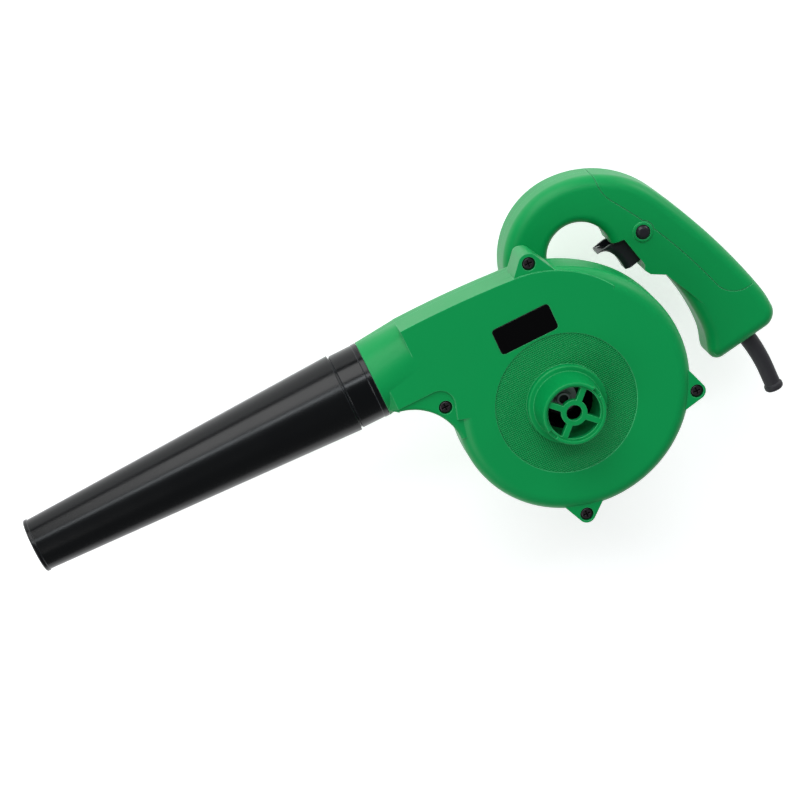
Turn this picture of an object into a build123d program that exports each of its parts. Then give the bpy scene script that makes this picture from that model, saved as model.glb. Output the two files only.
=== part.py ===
"""Hand-held electric leaf blower, built as an assembly of separate pieces.

The blower stands on the cap of its motor. +Z is the fan axis, up through the air inlet,
the nozzle points along -X and the handle hooks over the +Y side. The origin is where the
fan axis meets the surface that the blower stands on. Sizes are in millimetres.
"""

from build123d import *
from math import atan2, cos, degrees, radians, sin, tan
import os

os.makedirs("parts", exist_ok=True)

# ---------------------------------------------------------------- clearances
run_gap = 0.10          # radial gap of a running or sliding fit
fit_gap = 0.15          # gap of a piece that is pushed or screwed in place
seam_gap = 0.30         # open joint line between two mouldings
thread_gap = 0.05       # a screw in its pilot hole
ball_gap = 0.05         # between a ball and its groove
seat_gap = 0.02         # pressed or glued seat on the shaft or in a bearing's bore

# ---------------------------------------------------------------- fan casing
parting_z = 128.4       # plane where the two casing halves meet, also the nozzle axis
casing_half = 24.6      # from the parting plane to the flat outer face of one half
wall = 2.6              # moulded wall of casing and handle
scroll_top = 88.9       # highest point of the scroll over the fan axis
scroll_start_x = -7.4
scroll_radii = (97.8, 78.8, 71.6)
scroll_sweeps = (42.3, 170.4)
rear_round = 20.0       # edge of the rear half, nearly half round
duct_x = -75.0          # where the square duct starts to turn round
duct_top = 90.6
tongue_y = 45.5         # inner corner between duct and scroll
flank_lean = 16.5       # degrees that the flank below the tongue leans from upright
tongue_round = 10.0
outer_round = 9.0       # soft edge round the scroll
crisp_round = 1.6       # sharper edge along the duct
ear_step = 1.6          # the corner web stands this much lower than the face
ear_radius = 34.8       # hollow curve below the duct
ear_centre = (-104.2, 8.8)
ear_x = -97.0           # where the web starts to turn round
ear_rear = 14.0         # depth of the web behind the parting plane
ear_round = 2.4

face_z = parting_z + casing_half
back_z = parting_z - casing_half
air_top = face_z - wall

# lugs: screw position, tip radius, the two feet on the scroll, height of the top face
lug_step = 3.2
rear_lug_depth = 10.0
rear_lug_lean = 14.0
lugs = (
    ((15.3, 92.7), 6.6, (-1.0, 84.0), (31.5, 76.0), 1.2),
    ((78.6, -33.0), 5.7, (77.0, -12.0), (60.0, -42.5), lug_step),
    ((-18.0, -74.6), 5.7, (-31.5, -58.0), (-1.5, -68.0), lug_step),
)
ear_screw = (-69.8, 32.6)

# ---------------------------------------------------------------- outlet and nozzle
outlet_x = -102.7       # face of the casing that the nozzle stands against
nozzle_y = 63.7
outlet_radius = 25.3
spigot_radius = 22.3
spigot_bore = 19.9
spigot_length = 17.0
bayonet_angle = 30.0    # twist that frees the nozzle
pin_radius = 2.0
pin_height = 1.5
rim_length = 3.0
collar_length = 18.6
nozzle_length = 236.6   # from the casing face to the tip
cone_start_radius = 25.9
tip_radius = 17.2
tip_lip_radius = 17.8
tip_lip_length = 2.8
nozzle_wall = 2.2

# ---------------------------------------------------------------- air inlet
disc_radius = 45.75
disc_depth = 0.6
flange_radius = 25.6
flange_height = 4.65
collar_foot_radius = 22.0
collar_tip_radius = 20.1
collar_bore = 17.9
collar_height = 25.7    # over the sunken disc
guard_ring = (8.3, 5.1)  # outer and inner radius of the finger guard's hub
spoke_width = 3.7
guard_depth = 4.0
guard_drop = 2.2        # the finger guard sits this far below the rim
guard_band = 1.1        # thickness of the band round its spokes
press_gap = 0.02
notch_width = 6.4
notch_depth = 4.5
notch_angle = 18.5
disc_z = face_z - disc_depth
rim_z = disc_z + collar_height

# ---------------------------------------------------------------- name plate
plate_size = (39.4, 17.6)
plate_centre = (-4.1, 56.0)
plate_round = 2.4
plate_thickness = 0.8
plate_proud = 0.25

# ---------------------------------------------------------------- screws
screw_radius = 2.0
screw_head_radius = 4.0
screw_head_height = 2.9
screw_recess_radius = 4.4
cross_width = 1.05
cross_span = 4.8
cross_depth = 1.9

# ---------------------------------------------------------------- motor housing
tube_radius = 42.0
tube_wall = 2.6
cap_height = 14.0
vent_width = 3.2
vent_count = 20
exhaust_count = 24

# ---------------------------------------------------------------- motor
stack_bottom = 44.0     # armature and stator plates
stack_top = 78.0
armature_radius = 18.0
air_gap = 0.5
pole_tip = 3.0
stator_ring_inner = 31.0
stator_radius = 36.0
pole_half_width = 8.0
coil_thickness = 5.7
coil_height = 5.0
coil_overhang = 7.0
slot_count = 12
stator_screw_circle = 33.5
commutator_radius = 12.0
commutator_z = (20.0, 34.0)
brush_z = 27.0
brush_size = (6.0, 8.0)
brush_length = 14.0
brush_tube_radius = 6.4
shaft_radius = 4.5

# bearings: bore radius, outer radius, width, bottom height, ball count
rear_bearing = (3.5, 9.5, 6.0, 7.0, 7)
front_bearing = (4.0, 11.0, 7.0, 97.0, 7)
sleeve_thickness = 1.3
retainer_thickness = 1.5
small_screw = 0.6       # size of the retainer's screws against the casing screws

# ---------------------------------------------------------------- fans
cooling_fan_radius = 28.4
cooling_fan_z = (86.6, 93.2)
impeller_radius = 58.0
impeller_eye = 21.0
impeller_z = 109.2
impeller_top = 143.0
impeller_disc = 2.4
blade_count = 9
blade_thickness = 2.0
hub_top = 137.0
hub_radius = 11.5
insert_radius = 7.0
nut_width = 10.0
nut_top = 144.5
thread_radius = 3.0

# ---------------------------------------------------------------- handle
handle_z = 86.0         # plane where the handle halves meet
handle_half = 17.5
handle_round = 8.0
arch_left = (0.3, 61.7)
arch_radii = (54.3, 67.5, 394.6)
arch_sweeps = (90.0, 60.4, 13.9)
grip_end = (152.6, -22.0)
heel_round = 11.0
heel_slope = 8.7        # degrees that the underside of the grip falls towards the fingers
toe_x = 102.2
heel_low = -39.8        # about the lowest point of the toe
hook_widest = (105.4, -14.0)
toe_round = 6.0
loop_centre = (51.9, 67.1)
loop_radius = 21.4
pad_y = 44.0            # flat seat of the handle on the motor housing
handle_screw_spots = ((15.0, 73.0), (30.0, 99.0), (67.0, 99.5), (97.0, 41.0), (112.0, -26.0))
root_screws = ((9.5, 52.0), (21.8, 52.0))
handle_screw_seat = 3.8  # depth of a screw's seat under the handle's outer face
handle_screw_length = 24.0
handle_boss_radius = 3.8

# ---------------------------------------------------------------- trigger and lock button
trigger_point = (84.4, 53.6)
trigger_angle = 14.7
trigger_width = 18.0
trigger_wall = 1.7
button_centre = (94.4, 63.5)
button_radius = 4.8
button_ring_radius = 6.5
button_height = 1.4     # over its ring
button_round = 2.8

# ---------------------------------------------------------------- cord guard
guard_root = (130.2, -35.2)
guard_root_radius = 5.9
guard_tip_radius = 5.4
guard_bead_radius = 6.3
guard_bend = 115.0      # radius that its centreline bends on until it points straight down
guard_straight = 14.4
guard_lean = 15.0       # degrees from straight down where it leaves the handle
cord_radius = 3.4


def save(name, piece):
    """Label a finished piece and write it as one STEP file."""
    piece.label = name
    export_step(piece, f"parts/{name}.step")
    print(name, len(piece.solids()), round(piece.volume, 1))


def pan_screw(head_base, length, size=1.0):
    """Pan-head screw with a cross recess, its head resting on head_base, pointing along -Z."""
    with BuildPart() as screw:
        with BuildSketch(Plane.XY.offset(head_base)):
            Circle(screw_head_radius * size)
        extrude(amount=screw_head_height * size)
        fillet(screw.faces().sort_by(Axis.Z)[-1].edges(), 1.3 * size)
        with BuildSketch(Plane.XY.offset(head_base)):
            Circle(screw_radius * size)
        extrude(amount=-length)
        chamfer(screw.faces().sort_by(Axis.Z)[0].edges(), 0.8 * size)
        with BuildSketch(Plane.XY.offset(head_base + screw_head_height * size)):
            Rectangle(cross_span * size, cross_width * size)
            Rectangle(cross_width * size, cross_span * size)
        extrude(amount=-cross_depth * size, taper=12, mode=Mode.SUBTRACT)
    return screw.part


def at(points, piece):
    """Copies of one piece at several (x, y, z) places, as one group of separate solids."""
    return Compound(children=[copy_to(piece, point) for point in points])


def copy_to(piece, point):
    return Pos(*point) * piece


# ================================================================ fan casing
def scroll_arcs():
    """The scroll: three arcs that run on from each other clockwise round the fan."""
    arc_a = JernArc((scroll_start_x, scroll_top), (1, 0), scroll_radii[0], -scroll_sweeps[0])
    arc_b = JernArc(arc_a @ 1, arc_a % 1, scroll_radii[1], -scroll_sweeps[1])
    last_sweep = 270 + flank_lean - sum(scroll_sweeps)
    arc_c = JernArc(arc_b @ 1, arc_b % 1, scroll_radii[2], -last_sweep)
    return arc_a @ 0, arc_c @ 1


def scroll_tail():
    """Where the scroll's last arc ends, for outlines that don't draw the arcs themselves."""
    x, y, heading = scroll_start_x, scroll_top, 0.0
    last_sweep = 270 + flank_lean - sum(scroll_sweeps)
    for radius, sweep in zip(scroll_radii, (*scroll_sweeps, last_sweep)):
        turned = heading + sweep
        x += radius * (sin(radians(turned)) - sin(radians(heading)))
        y += radius * (cos(radians(turned)) - cos(radians(heading)))
        heading = turned
    return Vector(x, y)


def flank_point(end, y):
    """Point at height y on the straight flank that runs on from the scroll's end."""
    return (end.X + (y - end.Y) * tan(radians(flank_lean)), y)


def scroll_face(inset):
    """Side view of the round scroll, moved inwards by inset; goes into the open sketch."""
    with BuildSketch(Plane.XY) as face:
        with BuildLine():
            start, end = scroll_arcs()
            Polyline(end, flank_point(end, 32), (-30, 70), start)
        make_face()
        if inset:
            offset(amount=-inset, kind=Kind.INTERSECTION)
    return face.sketch


def duct_face(inset):
    """Side view of the duct, which fades into the scroll as it goes round."""
    with BuildSketch(Plane.XY) as face:
        with BuildLine():
            top = ThreePointArc((duct_x, duct_top), (-38, duct_top), (4, 88.2))
            fade = ThreePointArc(top @ 1, (35, 77.9), (58, 55.5))
            scroll_end = scroll_tail()
            tongue = flank_point(scroll_end, tongue_y)
            Polyline(fade @ 1, (0, 0), flank_point(scroll_end, 22), tongue,
                     (duct_x, tongue_y), top @ 0)
        make_face()
        fillet(face.vertices().sort_by_distance((*tongue, 0))[0], tongue_round)
        if inset:
            offset(amount=-inset, kind=Kind.INTERSECTION)
    return face.sketch


def casing_solid(inset):
    """Scroll, duct and outlet as one closed solid, every outer wall moved inwards by inset.

    With no inset it is the outer skin, with the wall thickness it is the air path. The front
    half has soft edges on the scroll and crisp ones on the duct, the rear half is well rounded.
    """
    half = casing_half - inset
    middle = Plane.XY.offset(parting_z)
    scroll = scroll_face(inset)
    duct = duct_face(inset)
    with BuildPart() as casing:
        # rear half: scroll and duct in one outline
        with BuildSketch(middle):
            add(scroll)
            add(duct)
        extrude(amount=-half)
        rim = casing.edges().filter_by_position(Axis.Z, parting_z - half - 0.01,
                                                parting_z - half + 0.01)
        round_rim = rim.filter_by(lambda edge: (edge @ 0.5).X > duct_x + inset + 0.1)
        fillet(round_rim, rear_round - inset)
        # front half: the round scroll, with soft edges, and then the crisp duct
        with BuildSketch(middle):
            add(scroll)
        extrude(amount=half)
        top = casing.edges().filter_by_position(Axis.Z, parting_z + half - 0.01,
                                                parting_z + half + 0.01)
        soft = top.filter_by(GeomType.CIRCLE).filter_by(lambda edge: edge.radius > 50)
        fillet(soft, outer_round - inset)
        with BuildSketch(middle):
            add(duct)
        extrude(amount=half)
        # the square duct turns round on its way to the nozzle
        duct_width = duct_top - tongue_y - 2 * inset
        overlap = 2.0
        with BuildSketch(Plane.YZ.offset(duct_x + inset + overlap)) as square:
            with Locations(((duct_top + tongue_y) / 2, parting_z)):
                Rectangle(duct_width, 2 * half)
            levels = square.vertices().group_by(Axis.Z)
            fillet(levels[0], rear_round - inset)
            fillet(levels[-1], crisp_round)
        with BuildSketch(Plane.YZ.offset(outlet_x)):
            with Locations((nozzle_y, parting_z)):
                side = 2 * (outlet_radius if not inset else spigot_bore - 0.3)
                RectangleRounded(side, side, side / 2 - 0.01)
        loft()
    return casing.part


def cheek_loft(low_y, low_z, high_z, end_y, end_high_z):
    """Lower side of the duct's end as it narrows to the outlet; heights count from the parting."""
    with BuildPart() as cheek:
        for x, first_y, top_z in ((ear_x, low_y, high_z), (outlet_x, end_y, end_high_z)):
            with BuildSketch(Plane.YZ.offset(x)):
                with Locations(((first_y + nozzle_y) / 2, parting_z + (low_z + top_z) / 2)):
                    Rectangle(nozzle_y - first_y, top_z - low_z)
        loft()
    return cheek.part


def ear_solid():
    """Web that fills the hollow corner below the duct and carries the fourth cover screw."""
    cx, cy = ear_centre
    reach = ear_x - cx
    top_left = (ear_x, cy + (ear_radius ** 2 - reach ** 2) ** 0.5)
    lower_right = (cx + ear_radius, cy)
    middle = (cx + ear_radius * cos(radians(35)), cy + ear_radius * sin(radians(35)))
    with BuildPart() as ear:
        with BuildSketch(Plane.XY.offset(parting_z - ear_rear)):
            with BuildLine():
                hollow = ThreePointArc(top_left, middle, lower_right)
                Polyline(hollow @ 1, (-60, 8), (-56, nozzle_y), (ear_x, nozzle_y), hollow @ 0)
            make_face()
        extrude(amount=ear_rear + casing_half - ear_step)
        rim = ear.edges().filter_by(GeomType.CIRCLE)
        fillet(rim, ear_round)
        # the duct's lower edge stays square up to the outlet
        with BuildSketch(Plane.XY.offset(parting_z)):
            with BuildLine():
                Polyline((ear_x, tongue_y), (-70, tongue_y), (-70, nozzle_y), (ear_x, nozzle_y),
                         close=True)
            make_face()
        extrude(amount=casing_half)
        square_part = outlet_radius * cos(radians(45))
        add(cheek_loft(tongue_y, 0, casing_half, nozzle_y - square_part, square_part - 0.1))
        add(cheek_loft(top_left[1], -ear_rear, casing_half - ear_step,
                       nozzle_y - square_part, square_part - 0.1))
    return ear.part


def lug_solid(screw, tip, foot_a, foot_b, depth, lean=0):
    """Triangular lug with a rounded tip round its screw, its two feet inside the scroll.

    It goes from the parting plane to depth, forwards or backwards, and narrows by lean degrees.
    """
    with BuildPart() as lug:
        with BuildSketch(Plane.XY.offset(parting_z)):
            with BuildLine():
                CenterArc(screw, tip, 0, 360)
                Line(foot_a, foot_b)
            make_hull()
        extrude(amount=depth, taper=lean)
    return lug.part


outer_skin = casing_solid(0)
air_path = casing_solid(wall)
ear_web = ear_solid()
front_lugs = [lug_solid(*lug[:4], casing_half - lug[4]) for lug in lugs]
screw_seats = [(*spot, face_z - step - 3.6) for spot, tip, foot_a, foot_b, step in lugs]
screw_seats.append((*ear_screw, face_z - ear_step - 3.6))
screw_length = 26.0

with BuildPart() as front_cover:
    add(outer_skin)
    add(ear_web)
    add(front_lugs)
    split(bisect_by=Plane.XY.offset(parting_z), keep=Keep.TOP)
    add(air_path, mode=Mode.SUBTRACT)
    # sunken disc, then the inlet collar standing in its middle
    with BuildSketch(Plane.XY.offset(disc_z)):
        Circle(disc_radius)
    extrude(amount=2 * disc_depth, mode=Mode.SUBTRACT)
    with BuildSketch(Plane.XZ) as collar_profile:
        with BuildLine():
            Polyline((collar_bore, air_top - 3), (collar_bore, rim_z), (collar_tip_radius, rim_z),
                     (collar_foot_radius, disc_z + flange_height),
                     (flange_radius, disc_z + flange_height), (flange_radius, air_top + 0.5),
                     (collar_bore + 2.4, air_top + 0.5), (collar_bore + 2.4, air_top - 3),
                     close=True)
        make_face()
        shoulder = collar_profile.vertices().sort_by_distance(
            (flange_radius, disc_z + flange_height, 0))[0]
        fillet(shoulder, 1.2)
        fillet(collar_profile.vertices().group_by(Axis.Y)[-1], 0.7)
    revolve(axis=Axis.Z)
    with BuildSketch(Plane.XY.offset(air_top - 4)):
        Circle(collar_bore)
    extrude(amount=disc_z - air_top + 6, mode=Mode.SUBTRACT)
    # bayonet entries in the rim
    with BuildSketch(Plane.XY.offset(rim_z - notch_depth)):
        with PolarLocations(collar_bore + 1.5, 2, start_angle=notch_angle):
            Rectangle(9, notch_width)
    extrude(amount=notch_depth + 1, mode=Mode.SUBTRACT)
    # shallow seat for the name plate
    with BuildSketch(Plane.XY.offset(face_z - plate_thickness + plate_proud)):
        with Locations(plate_centre):
            RectangleRounded(*[side + 2 * fit_gap for side in plate_size], plate_round + fit_gap)
    extrude(amount=plate_thickness, mode=Mode.SUBTRACT)
    # screw seats
    for x, y, z in screw_seats:
        with BuildSketch(Plane.XY.offset(z)):
            with Locations((x, y)):
                Circle(screw_recess_radius)
        extrude(amount=10, mode=Mode.SUBTRACT)
        with BuildSketch(Plane.XY.offset(parting_z)):
            with Locations((x, y)):
                Circle(screw_radius + run_gap)
        extrude(amount=z - parting_z, mode=Mode.SUBTRACT)
    # front half of the nozzle's spigot, with a bayonet pin
    with BuildSketch(Plane.YZ.offset(outlet_x - spigot_length)):
        with Locations((nozzle_y, parting_z)):
            Circle(spigot_radius)
            Circle(spigot_bore, mode=Mode.SUBTRACT)
        with Locations((nozzle_y, parting_z - spigot_radius)):
            Rectangle(3 * spigot_radius, 2 * spigot_radius, mode=Mode.SUBTRACT)
    extrude(amount=spigot_length + 2)
    with BuildSketch(Plane.XY.offset(parting_z + spigot_radius - 1)):
        with Locations((outlet_x - 10, nozzle_y)):
            Circle(pin_radius)
    extrude(amount=1 + pin_height)
save("front_cover", front_cover.part)

# finger guard: a hub ring on four spokes inside a thin band, pressed into the inlet collar
with BuildPart() as inlet_guard:
    with BuildSketch(Plane.XY.offset(rim_z - guard_drop - guard_depth)):
        Circle(collar_bore - press_gap)
        Circle(collar_bore - guard_band, mode=Mode.SUBTRACT)
        Circle(guard_ring[0])
        with PolarLocations((collar_bore + guard_ring[1]) / 2, 4, start_angle=45):
            Rectangle(collar_bore - guard_ring[1] - 1, spoke_width)
        Circle(guard_ring[1], mode=Mode.SUBTRACT)
    extrude(amount=guard_depth)
save("inlet_guard", inlet_guard.part)

cover_screw = pan_screw(0, screw_length)
cover_screws = at(screw_seats, cover_screw)
save("cover_screws", cover_screws)

with BuildPart() as name_plate:
    with BuildSketch(Plane.XY.offset(face_z - plate_thickness + plate_proud)):
        with Locations(plate_centre):
            RectangleRounded(*plate_size, plate_round)
    extrude(amount=plate_thickness)
    fillet(name_plate.faces().sort_by(Axis.Z)[-1].edges(), 0.2)
save("name_plate", name_plate.part)


# ================================================================ rear housing
rear_lugs = [lug_solid(*lug[:4], -rear_lug_depth, rear_lug_lean) for lug in lugs]
cap_screw_angles = (45, 135, 225, 315)
cap_screw_circle = tube_radius - tube_wall - 3.2
stator_screw_spots = [(side * stator_screw_circle, 0) for side in (-1, 1)]
hub_outer = front_bearing[1] + 7
retainer_screw_circle = front_bearing[1] + 3.6
tongue_low = (arch_left[0] + wall + 0.4, pad_y - 6)
tongue_high = (loop_centre[0] - loop_radius - wall - 0.4, pad_y + 14)
tongue_half = handle_half - wall - seam_gap
tongue_bottom = handle_z - handle_half + handle_screw_seat + 1.6 + seam_gap
tongue_top = handle_z + tongue_half
brush_boss_start = tube_radius - tube_wall - 4
brush_boss_end = tube_radius + 1.6

with BuildPart() as rear_housing:
    add(outer_skin)
    add(ear_web)
    add(rear_lugs)
    split(bisect_by=Plane.XY.offset(parting_z), keep=Keep.BOTTOM)
    add(air_path, mode=Mode.SUBTRACT)
    # motor tube, then the pad and the hollow tongue for the handle
    with BuildSketch(Plane.XY.offset(cap_height)):
        Circle(tube_radius)
    extrude(amount=back_z + 0.5 - cap_height)
    with BuildSketch(Plane.XY.offset(handle_z - handle_half)):
        with Locations((15.0, pad_y - 7)):
            Rectangle(46, 14)
    extrude(amount=2 * handle_half)
    with BuildSketch(Plane.XY.offset(tongue_bottom)):
        with Locations(((tongue_low[0] + tongue_high[0]) / 2, (tongue_low[1] + tongue_high[1]) / 2)):
            RectangleRounded(tongue_high[0] - tongue_low[0], tongue_high[1] - tongue_low[1], 2)
    extrude(amount=tongue_top - tongue_bottom)
    with BuildSketch(Plane.XY.offset(tongue_bottom + wall)):
        with Locations(((tongue_low[0] + tongue_high[0]) / 2, tongue_high[1])):
            Rectangle(tongue_high[0] - tongue_low[0] - 2 * wall, 2 * (tongue_high[1] - pad_y - 3))
        with Locations(*root_screws):
            Circle(screw_radius + 2.2, mode=Mode.SUBTRACT)
    extrude(amount=tongue_top - tongue_bottom - 2 * wall, mode=Mode.SUBTRACT)
    with BuildSketch(Plane.XY.offset(cap_height - 1)):
        Circle(tube_radius - tube_wall)
    extrude(amount=back_z - cap_height + 1, mode=Mode.SUBTRACT)
    # round bosses for the brush holders
    for side in (-1, 1):
        with BuildSketch(Plane.YZ.offset(side * brush_boss_start)):
            with Locations((0, brush_z)):
                Circle(brush_tube_radius + 2.6)
        extrude(amount=side * (brush_boss_end - brush_boss_start))
    # front bearing hub, hanging from the wall behind the fan
    with BuildSketch(Plane.XY.offset(front_bearing[3])):
        Circle(hub_outer)
    extrude(amount=back_z + 0.5 - front_bearing[3])
    with BuildSketch(Plane.XY.offset(front_bearing[3])):
        Circle(front_bearing[1])
    extrude(amount=front_bearing[2], mode=Mode.SUBTRACT)
    with BuildSketch(Plane.XY.offset(back_z - 1)):
        Circle(front_bearing[1] - 2.5)
    extrude(amount=wall + 2, mode=Mode.SUBTRACT)
    # columns for the stator screws and the end cap's screws, all inside the tube
    with BuildSketch(Plane.XY.offset(stack_top)):
        with Locations(*stator_screw_spots):
            Circle(4.4)
    extrude(amount=back_z + 0.5 - stack_top)
    with BuildSketch(Plane.XY.offset(cap_height)):
        with PolarLocations(cap_screw_circle, 4, start_angle=45):
            Circle(4.2)
        Circle(tube_radius + 2)
        Circle(tube_radius - 0.5, mode=Mode.SUBTRACT)
        with PolarLocations(cap_screw_circle, 4, start_angle=45):
            Circle(4.2)
        Circle(tube_radius - 0.4, mode=Mode.INTERSECT)
    extrude(amount=20)
    with BuildSketch(Plane.XY.offset(stack_top)):
        with Locations(*stator_screw_spots):
            Circle(screw_radius + thread_gap)
    extrude(amount=18, mode=Mode.SUBTRACT)
    with BuildSketch(Plane.XY.offset(cap_height)):
        with PolarLocations(cap_screw_circle, 4, start_angle=45):
            Circle(screw_radius + thread_gap)
    extrude(amount=16, mode=Mode.SUBTRACT)
    with BuildSketch(Plane.XY.offset(front_bearing[3])):
        with PolarLocations(retainer_screw_circle, 2, start_angle=90):
            Circle(screw_radius * small_screw + thread_gap)
    extrude(amount=5.5, mode=Mode.SUBTRACT)
    # brush bores right through tube and boss
    with BuildSketch(Plane.YZ.offset(-tube_radius - 4)):
        with Locations((0, brush_z)):
            Circle(brush_tube_radius + thread_gap)
    extrude(amount=2 * tube_radius + 8, mode=Mode.SUBTRACT)
    # cooling air leaves through slots beside the cooling fan, clear of the handle
    with BuildSketch(Plane.XY.offset(cooling_fan_z[0])):
        with PolarLocations(tube_radius - 1, exhaust_count, start_angle=180 / exhaust_count):
            Rectangle(8, vent_width)
        with Locations((15, tube_radius + 2)):
            Rectangle(66, 34, mode=Mode.SUBTRACT)
    extrude(amount=10, mode=Mode.SUBTRACT)
    # cover screws and handle screws
    for x, y, z in screw_seats:
        with BuildSketch(Plane.XY.offset(parting_z)):
            with Locations((x, y)):
                Circle(screw_radius + thread_gap)
        extrude(amount=z - screw_length - 0.5 - parting_z, mode=Mode.SUBTRACT)
    with BuildSketch(Plane.XY.offset(tongue_bottom - 1)):
        with Locations(*root_screws):
            Circle(screw_radius + thread_gap)
    extrude(amount=tongue_top - tongue_bottom + 2, mode=Mode.SUBTRACT)
    # rear half of the nozzle's spigot, with a bayonet pin
    with BuildSketch(Plane.YZ.offset(outlet_x - spigot_length)):
        with Locations((nozzle_y, parting_z)):
            Circle(spigot_radius)
            Circle(spigot_bore, mode=Mode.SUBTRACT)
        with Locations((nozzle_y, parting_z + spigot_radius)):
            Rectangle(3 * spigot_radius, 2 * spigot_radius, mode=Mode.SUBTRACT)
    extrude(amount=spigot_length + 2)
    with BuildSketch(Plane.XY.offset(parting_z - spigot_radius + 1)):
        with Locations((outlet_x - 10, nozzle_y)):
            Circle(pin_radius)
    extrude(amount=-1 - pin_height)
save("rear_housing", rear_housing.part)

# ================================================================ motor end cap
sleeve_radius = rear_bearing[1] + sleeve_thickness
cap_hub_radius = sleeve_radius + 2.6
cap_screw_base = 4.0

with BuildPart() as motor_end_cap:
    with BuildSketch(Plane.XY):
        Circle(tube_radius)
    extrude(amount=cap_height)
    fillet(motor_end_cap.faces().sort_by(Axis.Z)[0].edges(), 4.0)
    with BuildSketch(Plane.XY.offset(tube_wall)):
        Circle(tube_radius - tube_wall - 0.6)
    extrude(amount=cap_height, mode=Mode.SUBTRACT)
    # locating lip inside the tube, broken for the screw columns
    with BuildSketch(Plane.XY.offset(cap_height - 4)):
        Circle(tube_radius - tube_wall - run_gap)
        Circle(tube_radius - tube_wall - 1.6, mode=Mode.SUBTRACT)
        with PolarLocations(cap_screw_circle, 4, start_angle=45):
            Rectangle(12, 11, mode=Mode.SUBTRACT)
    extrude(amount=7)
    # bearing hub and screw columns
    with BuildSketch(Plane.XY.offset(1)):
        Circle(cap_hub_radius)
        with PolarLocations(cap_screw_circle, 4, start_angle=45):
            Circle(4.9)
        Circle(tube_radius - 0.5, mode=Mode.INTERSECT)
    extrude(amount=rear_bearing[3] + rear_bearing[2] - 1)
    with BuildSketch(Plane.XY.offset(rear_bearing[3] - 1)):
        Circle(sleeve_radius)
    extrude(amount=cap_height, mode=Mode.SUBTRACT)
    with BuildSketch(Plane.XY.offset(cap_screw_base)):
        with PolarLocations(cap_screw_circle, 4, start_angle=45):
            Circle(screw_radius + run_gap)
    extrude(amount=cap_height, mode=Mode.SUBTRACT)
    with BuildSketch(Plane.XY.offset(cap_screw_base)):
        with PolarLocations(cap_screw_circle, 4, start_angle=45):
            Circle(screw_recess_radius)
    extrude(amount=-2 * cap_screw_base, mode=Mode.SUBTRACT)
    # cooling air comes in through a ring of slots
    with BuildSketch(Plane.XY):
        with PolarLocations(cap_hub_radius + 8.5, vent_count, start_angle=9):
            SlotOverall(10.5, vent_width)
    extrude(amount=tube_wall, mode=Mode.SUBTRACT)
save("motor_end_cap", motor_end_cap.part)

cap_screw = Rot(180, 0, 0) * pan_screw(0, 22)
cap_screw_spots = [(cap_screw_circle * cos(radians(a)), cap_screw_circle * sin(radians(a)),
                    cap_screw_base) for a in cap_screw_angles]
save("end_cap_screws", at(cap_screw_spots, cap_screw))


# ================================================================ handle
# The handle is a hook: it stands on the motor housing, arches over the trigger and runs
# down as the grip. Two hollow halves meet at handle_z; a strap closes the back of the grip.
trigger_dir = Vector(cos(radians(trigger_angle)), sin(radians(trigger_angle)), 0)
trigger_frame = Plane((*trigger_point, handle_z), x_dir=trigger_dir, z_dir=(0, 0, 1))


def trigger_spot(along, up):
    """Point in the handle's plane: along the trigger's travel, then up along its slot."""
    spot = trigger_frame.from_local_coords(Vector(along, up, 0))
    return (spot.X, spot.Y)


slot_top = trigger_spot(0, 11.2)
slot_bottom = trigger_spot(0, -10.6)


def handle_sketch(inset):
    """Side view of the handle, moved inwards by inset."""
    with BuildSketch(Plane.XY) as outline:
        with BuildLine():
            rise = JernArc(arch_left, (0, 1), arch_radii[0], -arch_sweeps[0])
            crown = JernArc(rise @ 1, rise % 1, arch_radii[1], -arch_sweeps[1])
            back = JernArc(crown @ 1, crown % 1, arch_radii[2], -arch_sweeps[2])
            ease = TangentArc(back @ 1, grip_end, tangent=back % 1)
            heading = degrees(atan2((ease % 1).Y, (ease % 1).X))
            heel = JernArc(ease @ 1, ease % 1, heel_round, -(180 - heel_slope + heading))
            fall = ((heel @ 1).X - toe_x) * tan(radians(heel_slope))
            under = Line(heel @ 1, (toe_x, (heel @ 1).Y - fall))
            palm = TangentArc(hook_widest, (97.8, 29.0), tangent=(0, 1))
            hook = TangentArc(hook_widest, (103.4, -27.0), tangent=(0, -1))
            TangentArc(hook @ 1, under @ 1, tangent=hook % 1)
            nub = Polyline(palm @ 1, (97.0, 30.6), (88.0, 35.6), (85.6, 39.4), slot_bottom,
                           slot_top, (loop_centre[0] + loop_radius * cos(radians(6)),
                                      loop_centre[1] - loop_radius * sin(radians(6))))
            loop = ThreePointArc(nub @ 1, (loop_centre[0], loop_centre[1] + loop_radius),
                                 (loop_centre[0] - loop_radius, loop_centre[1]))
            Polyline(loop @ 1, (loop_centre[0] - loop_radius, pad_y), (arch_left[0], pad_y), arch_left)
        make_face()
        fillet(outline.vertices().sort_by_distance((toe_x, heel_low, 0))[0], toe_round)
        if inset:
            offset(amount=-inset, kind=Kind.ARC)
    return outline.sketch


def strap_sketch(gap):
    """Region behind the grip's seam, moved back by gap."""
    with BuildSketch(Plane.XY) as region:
        with BuildLine():
            run = ThreePointArc((84.0, 91.5), (106.8, 52.1), (124.0, 10.0))
            bend = TangentArc(run @ 0, (80.1, 104.2), tangent=(run % 0) * -1)
            turn = TangentArc(run @ 1, (140.5, -1.7), tangent=run % 1)
            Polyline(turn @ 1, (175, -1.2), (175, 126), (80.1, 126), bend @ 1)
        make_face()
        if gap:
            offset(amount=-gap, kind=Kind.ARC)
    return region.sketch


def prism(sketch, low, high):
    """Sketch on the XY plane raised from low to high."""
    with BuildPart() as block:
        with BuildSketch(Plane.XY.offset(low)):
            add(sketch)
        extrude(amount=high - low)
    return block.part


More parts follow.
